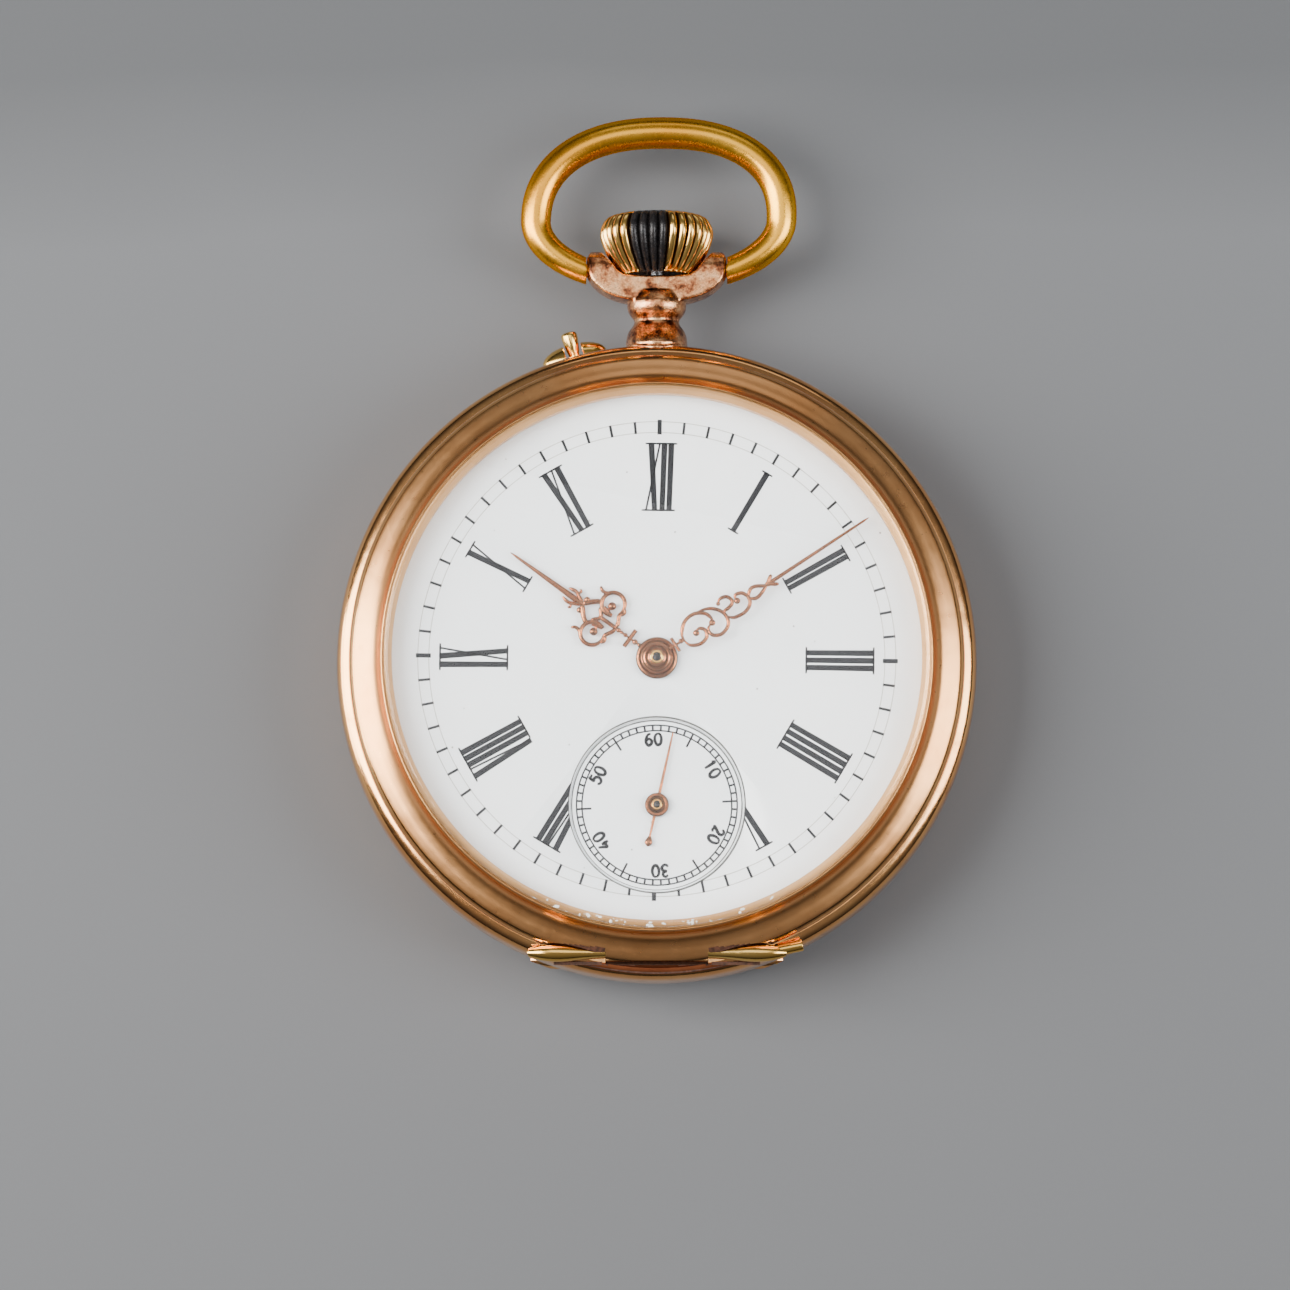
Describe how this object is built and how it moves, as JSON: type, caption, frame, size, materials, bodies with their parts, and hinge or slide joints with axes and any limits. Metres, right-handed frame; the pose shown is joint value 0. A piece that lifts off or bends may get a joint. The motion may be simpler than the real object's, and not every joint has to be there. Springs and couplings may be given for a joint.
{
  "type": "open face pocket watch",
  "caption": "Round open face pocket watch with roman enamel dial, sunk seconds dial, ribbed crown, oval bow, hinged bezel and back, and a full lever movement inside.",
  "frame": {"origin": "middle of the flat back, where the watch lies on a table", "axes": "+Z out of the dial, +Y from the middle towards twelve o'clock and the pendant, +X towards three o'clock"},
  "size_m": [0.05, 0.0681, 0.0134],
  "materials": {
    "case_gold": "polished rose gold-filled, lightly worn",
    "bow_gold": "polished yellow gold-filled",
    "pendant_copper": "tarnished, coppery, dull",
    "crown_gold": "ribbed, worn yellow gold shell",
    "crown_core_dark": "dark oxidised core",
    "steel": "finely ground steel",
    "blued_steel": "blued, polished screw heads and springs",
    "gilt": "frosted gilt",
    "wheel_brass": "smooth gilt brass",
    "glass": "clear flat glass with a bevelled edge",
    "enamel": "glossy white vitreous enamel with black printing",
    "hand_copper": "polished rose gilt",
    "ruby": "polished ruby"
  },
  "bodies": {
    "case": {"case_middle": "case_gold", "pendant": "pendant_copper", "dust_cover": "case_gold", "hinge_pins": "case_gold", "setting_pin_guard": "case_gold", "dial": "enamel", "seconds_dial": "enamel", "mainplate": "gilt", "barrel_bridge": "gilt", "train_bridge": "gilt", "balance_cock": "gilt", "pallet_bridge": "gilt", "jewels": "ruby", "bridge_screws": "blued_steel", "small_screws": "blued_steel", "case_screws": "blued_steel", "click_spring": "steel", "setting_lever_spring": "steel", "hairspring": "blued_steel"},
    "bow_body": {"bow": "bow_gold"},
    "crown_body": {"crown_shell": "crown_gold", "crown_core": "crown_core_dark", "winding_stem": "steel", "winding_pinion": "steel", "sliding_pinion": "steel"},
    "bezel_body": {"bezel": "case_gold", "crystal": "glass"},
    "back_body": {"back_cover": "case_gold"},
    "push_pin_body": {"setting_pin": "case_gold"},
    "lever_body": {"setting_lever": "steel"},
    "crown_wheel_body": {"crown_wheel": "steel"},
    "ratchet_body": {"ratchet_wheel": "steel", "barrel_arbor": "steel", "ratchet_screw": "blued_steel"},
    "click_body": {"click": "steel"},
    "barrel_body": {"barrel": "wheel_brass", "barrel_cover": "wheel_brass", "mainspring": "steel"},
    "centre_body": {"centre_wheel": "wheel_brass", "centre_pinion": "steel", "cannon_pinion": "steel", "minute_hand": "hand_copper"},
    "third_body": {"third_wheel": "wheel_brass", "third_pinion": "steel"},
    "fourth_body": {"fourth_wheel": "wheel_brass", "fourth_pinion": "steel", "seconds_hand": "hand_copper"},
    "escape_body": {"escape_wheel": "wheel_brass", "escape_pinion": "steel"},
    "pallet_body": {"pallet_fork": "steel", "pallet_stones": "ruby"},
    "balance_body": {"balance_wheel": "wheel_brass", "balance_screws": "wheel_brass", "balance_staff": "steel"},
    "regulator_body": {"regulator": "steel"},
    "hour_body": {"hour_wheel": "wheel_brass", "hour_hand": "hand_copper"},
    "minute_wheel_body": {"minute_wheel": "wheel_brass"},
    "setting_wheel_body": {"setting_wheel": "wheel_brass"}
  },
  "joints": [
    {"name": "bow_swing", "type": "hinge", "parent": "case", "child": "bow_body", "pos_m": [0, 0.0313, 0.00595], "axis": [1, 0, 0], "range_deg": [-80, 80]},
    {"name": "crown_turn", "type": "hinge", "parent": "case", "child": "crown_body", "pos_m": [0, 0.033, 0.00595], "axis": [0, 1, 0], "continuous": true},
    {"name": "bezel_open", "type": "hinge", "parent": "case", "child": "bezel_body", "pos_m": [0, -0.0229, 0.01], "axis": [1, 0, 0], "range_deg": [0, 90]},
    {"name": "back_cover_open", "type": "hinge", "parent": "case", "child": "back_body", "pos_m": [0, -0.0229, 0.0029], "axis": [-1, 0, 0], "range_deg": [0, 90]},
    {"name": "setting_pin_push", "type": "slide", "parent": "case", "child": "push_pin_body", "axis": [0.2554, -0.9668, 0], "range_m": [0, 0.0008], "stiffness_N_per_m": 200},
    {"name": "setting_lever_turn", "type": "hinge", "parent": "case", "child": "lever_body", "pos_m": [-0.01, 0.0145, 0.0058], "axis": [0, 0, 1], "range_deg": [-8, 0]},
    {"name": "crown_wheel_turn", "type": "hinge", "parent": "case", "child": "crown_wheel_body", "pos_m": [0, 0.01077, 0.0032], "axis": [0, 0, 1], "continuous": true},
    {"name": "barrel_arbor_turn", "type": "hinge", "parent": "case", "child": "ratchet_body", "pos_m": [0.00779, 0.0045, 0.004], "axis": [0, 0, 1], "continuous": true},
    {"name": "click_lift", "type": "hinge", "parent": "case", "child": "click_body", "pos_m": [0.01587, 0.00156, 0.0032], "axis": [0, 0, 1], "range_deg": [0, 8], "stiffness_Nm_per_rad": 0.00002},
    {"name": "centre_turn", "type": "hinge", "parent": "case", "child": "centre_body", "pos_m": [0, 0, 0.0074], "axis": [0, 0, 1], "continuous": true},
    {"name": "barrel_turn", "type": "hinge", "parent": "case", "child": "barrel_body", "pos_m": [0.00779, 0.0045, 0.005], "axis": [0, 0, 1], "continuous": true},
    {"name": "third_turn", "type": "hinge", "parent": "case", "child": "third_body", "pos_m": [-0.0037, -0.00618, 0.0054], "axis": [0, 0, 1], "continuous": true},
    {"name": "fourth_turn", "type": "hinge", "parent": "case", "child": "fourth_body", "pos_m": [0, -0.01137, 0.006], "axis": [0, 0, 1], "continuous": true},
    {"name": "escape_turn", "type": "hinge", "parent": "case", "child": "escape_body", "pos_m": [-0.0054, -0.0133, 0.0054], "axis": [0, 0, 1], "continuous": true},
    {"name": "pallet_swing", "type": "hinge", "parent": "case", "child": "pallet_body", "pos_m": [-0.00786, -0.0108, 0.0058], "axis": [0, 0, 1], "range_deg": [-4, 4]},
    {"name": "balance_swing", "type": "hinge", "parent": "case", "child": "balance_body", "pos_m": [-0.012, -0.0066, 0.005], "axis": [0, 0, 1], "range_deg": [-220, 220]},
    {"name": "regulator_index", "type": "hinge", "parent": "case", "child": "regulator_body", "pos_m": [-0.012, -0.0066, 0.00275], "axis": [0, 0, 1], "range_deg": [-15, 15]},
    {"name": "hour_turn", "type": "hinge", "parent": "case", "child": "hour_body", "pos_m": [0, 0, 0.0099], "axis": [0, 0, 1], "continuous": true},
    {"name": "minute_wheel_turn", "type": "hinge", "parent": "case", "child": "minute_wheel_body", "pos_m": [0.0018, 0.00312, 0.0088], "axis": [0, 0, 1], "continuous": true},
    {"name": "setting_wheel_turn", "type": "hinge", "parent": "case", "child": "setting_wheel_body", "pos_m": [0, 0.00853, 0.0086], "axis": [0, 0, 1], "continuous": true}
  ],
  "couplings": [
    {"joint": "setting_lever_turn", "follows": "setting_pin_push", "rad_per_m": -168.64},
    {"joint": "crown_wheel_turn", "follows": "crown_turn", "ratio": 0.58824},
    {"joint": "barrel_arbor_turn", "follows": "crown_turn", "ratio": -0.30303},
    {"joint": "barrel_turn", "follows": "centre_turn", "ratio": -0.125},
    {"joint": "third_turn", "follows": "centre_turn", "ratio": -8},
    {"joint": "fourth_turn", "follows": "centre_turn", "ratio": 60},
    {"joint": "hour_turn", "follows": "centre_turn", "ratio": 0.083333},
    {"joint": "minute_wheel_turn", "follows": "centre_turn", "ratio": -0.33333},
    {"joint": "setting_wheel_turn", "follows": "centre_turn", "ratio": 0.3}
  ]
}
